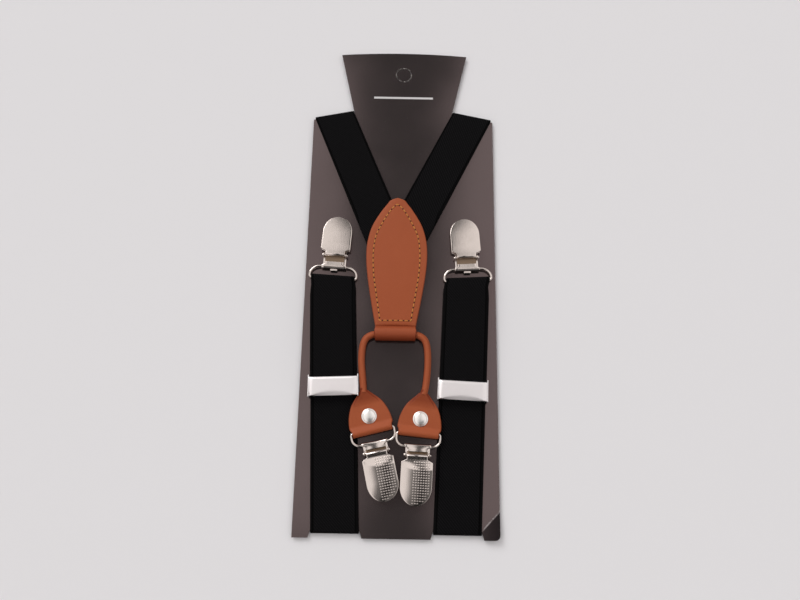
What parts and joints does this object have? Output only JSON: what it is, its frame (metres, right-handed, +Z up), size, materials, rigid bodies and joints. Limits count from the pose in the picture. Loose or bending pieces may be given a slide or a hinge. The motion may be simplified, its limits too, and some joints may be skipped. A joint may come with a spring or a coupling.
{
  "type": "suspenders",
  "caption": "Y-back elastic suspenders with clip ends, adjusters and a leather back patch, folded round a hang card.",
  "frame": {"origin": "centre of the hang card's outline, on the surface that the straps' back runs lie on", "axes": "+Y towards the hang tab of the card, +Z up out of the front, +X to the right seen from the front"},
  "size_m": [0.104, 0.277, 0.0076],
  "materials": {
    "card": "glossy varnished board",
    "webbing": "fine twill weave",
    "leather": "smooth vegetable-tanned hide",
    "nickel": "bright nickel plate",
    "satin": "satin nickel plate",
    "pad": "moulded"
  },
  "bodies": {
    "card_and_straps": {"hang_card": "card", "strap_left": "webbing", "strap_right": "webbing", "strap_tail_left": "webbing", "strap_tail_right": "webbing", "back_patch": "leather"},
    "leather_loop": {"leather_loop": "leather", "rivet_cap_left": "nickel", "rivet_cap_right": "nickel", "rivet_base_left": "nickel", "rivet_base_right": "nickel"},
    "adjuster_left": {"adjuster_frame_left": "satin"},
    "adjuster_cover_left": {"adjuster_cover_left": "satin"},
    "adjuster_right": {"adjuster_frame_right": "satin"},
    "adjuster_cover_right": {"adjuster_cover_right": "satin"},
    "clip_loop_front_left": {"clip_loop_front_left": "nickel"},
    "clip_front_left": {"clip_body_front_left": "nickel", "clip_pad_front_left": "pad"},
    "clip_lever_front_left": {"clip_lever_front_left": "nickel"},
    "clip_loop_front_right": {"clip_loop_front_right": "nickel"},
    "clip_front_right": {"clip_body_front_right": "nickel", "clip_pad_front_right": "pad"},
    "clip_lever_front_right": {"clip_lever_front_right": "nickel"},
    "clip_loop_back_left": {"clip_loop_back_left": "nickel"},
    "clip_back_left": {"clip_body_back_left": "nickel", "clip_pad_back_left": "pad"},
    "clip_lever_back_left": {"clip_lever_back_left": "nickel"},
    "clip_loop_back_right": {"clip_loop_back_right": "nickel"},
    "clip_back_right": {"clip_body_back_right": "nickel", "clip_pad_back_right": "pad"},
    "clip_lever_back_right": {"clip_lever_back_right": "nickel"}
  },
  "joints": [
    {"name": "leather_loop_swing", "type": "hinge", "parent": "card_and_straps", "child": "leather_loop", "pos_m": [0, -0.0353, 0.0046], "axis": [-1, 0, 0], "range_deg": [0, 110]},
    {"name": "adjuster_slide_left", "type": "slide", "parent": "card_and_straps", "child": "adjuster_left", "axis": [-0.0422, 0.9991, 0], "range_m": [0, 0.04], "deforming": ["strap_tail_left"]},
    {"name": "adjuster_cover_hinge_left", "type": "hinge", "parent": "adjuster_left", "child": "adjuster_cover_left", "pos_m": [-0.03386, -0.0676, 0.006], "axis": [0.9991, 0.0422, 0], "range_deg": [0, 95]},
    {"name": "adjuster_slide_right", "type": "slide", "parent": "card_and_straps", "child": "adjuster_right", "axis": [0.0422, 0.9991, 0], "range_m": [0, 0.04], "deforming": ["strap_tail_right"]},
    {"name": "adjuster_cover_hinge_right", "type": "hinge", "parent": "adjuster_right", "child": "adjuster_cover_right", "pos_m": [0.03331, -0.0689, 0.006], "axis": [0.9991, -0.0422, 0], "range_deg": [0, 95]},
    {"name": "loop_hinge_front_left", "type": "hinge", "parent": "card_and_straps", "child": "clip_loop_front_left", "pos_m": [-0.03685, -0.00399, 0.0035], "axis": [0.9982, -0.0593, 0], "range_deg": [0, 90]},
    {"name": "clip_hinge_front_left", "type": "hinge", "parent": "clip_loop_front_left", "child": "clip_front_left", "pos_m": [-0.03645, 0.0027, 0.0035], "axis": [-0.9982, 0.0593, 0], "range_deg": [-45, 0]},
    {"name": "lever_hinge_front_left", "type": "hinge", "parent": "clip_front_left", "child": "clip_lever_front_left", "pos_m": [-0.03607, 0.00909, 0.0042], "axis": [0.9982, -0.0593, 0], "range_deg": [0, 90]},
    {"name": "loop_hinge_front_right", "type": "hinge", "parent": "card_and_straps", "child": "clip_loop_front_right", "pos_m": [0.03685, -0.00399, 0.0035], "axis": [0.9982, 0.0593, 0], "range_deg": [0, 90]},
    {"name": "clip_hinge_front_right", "type": "hinge", "parent": "clip_loop_front_right", "child": "clip_front_right", "pos_m": [0.03645, 0.0027, 0.0035], "axis": [-0.9982, -0.0593, 0], "range_deg": [-45, 0]},
    {"name": "lever_hinge_front_right", "type": "hinge", "parent": "clip_front_right", "child": "clip_lever_front_right", "pos_m": [0.03607, 0.00909, 0.0042], "axis": [0.9982, 0.0593, 0], "range_deg": [0, 90]},
    {"name": "loop_hinge_back_left", "type": "hinge", "parent": "leather_loop", "child": "clip_loop_back_left", "pos_m": [-0.01305, -0.08546, 0.00458], "axis": [-0.9763, -0.2164, 0], "range_deg": [0, 90]},
    {"name": "clip_hinge_back_left", "type": "hinge", "parent": "clip_loop_back_left", "child": "clip_back_left", "pos_m": [-0.0116, -0.09201, 0.00458], "axis": [0.9763, 0.2164, 0], "range_deg": [-80, 0]},
    {"name": "lever_hinge_back_left", "type": "hinge", "parent": "clip_back_left", "child": "clip_lever_back_left", "pos_m": [-0.01067, -0.0962, 0.00528], "axis": [-0.9763, -0.2164, 0], "range_deg": [0, 90]},
    {"name": "loop_hinge_back_right", "type": "hinge", "parent": "leather_loop", "child": "clip_loop_back_right", "pos_m": [0.0107, -0.08664, 0.00458], "axis": [-0.999, 0.0436, 0], "range_deg": [0, 90]},
    {"name": "clip_hinge_back_right", "type": "hinge", "parent": "clip_loop_back_right", "child": "clip_back_right", "pos_m": [0.01041, -0.09334, 0.00458], "axis": [0.999, -0.0436, 0], "range_deg": [-80, 0]},
    {"name": "lever_hinge_back_right", "type": "hinge", "parent": "clip_back_right", "child": "clip_lever_back_right", "pos_m": [0.01022, -0.09763, 0.00528], "axis": [-0.999, 0.0436, 0], "range_deg": [0, 90]}
  ]
}
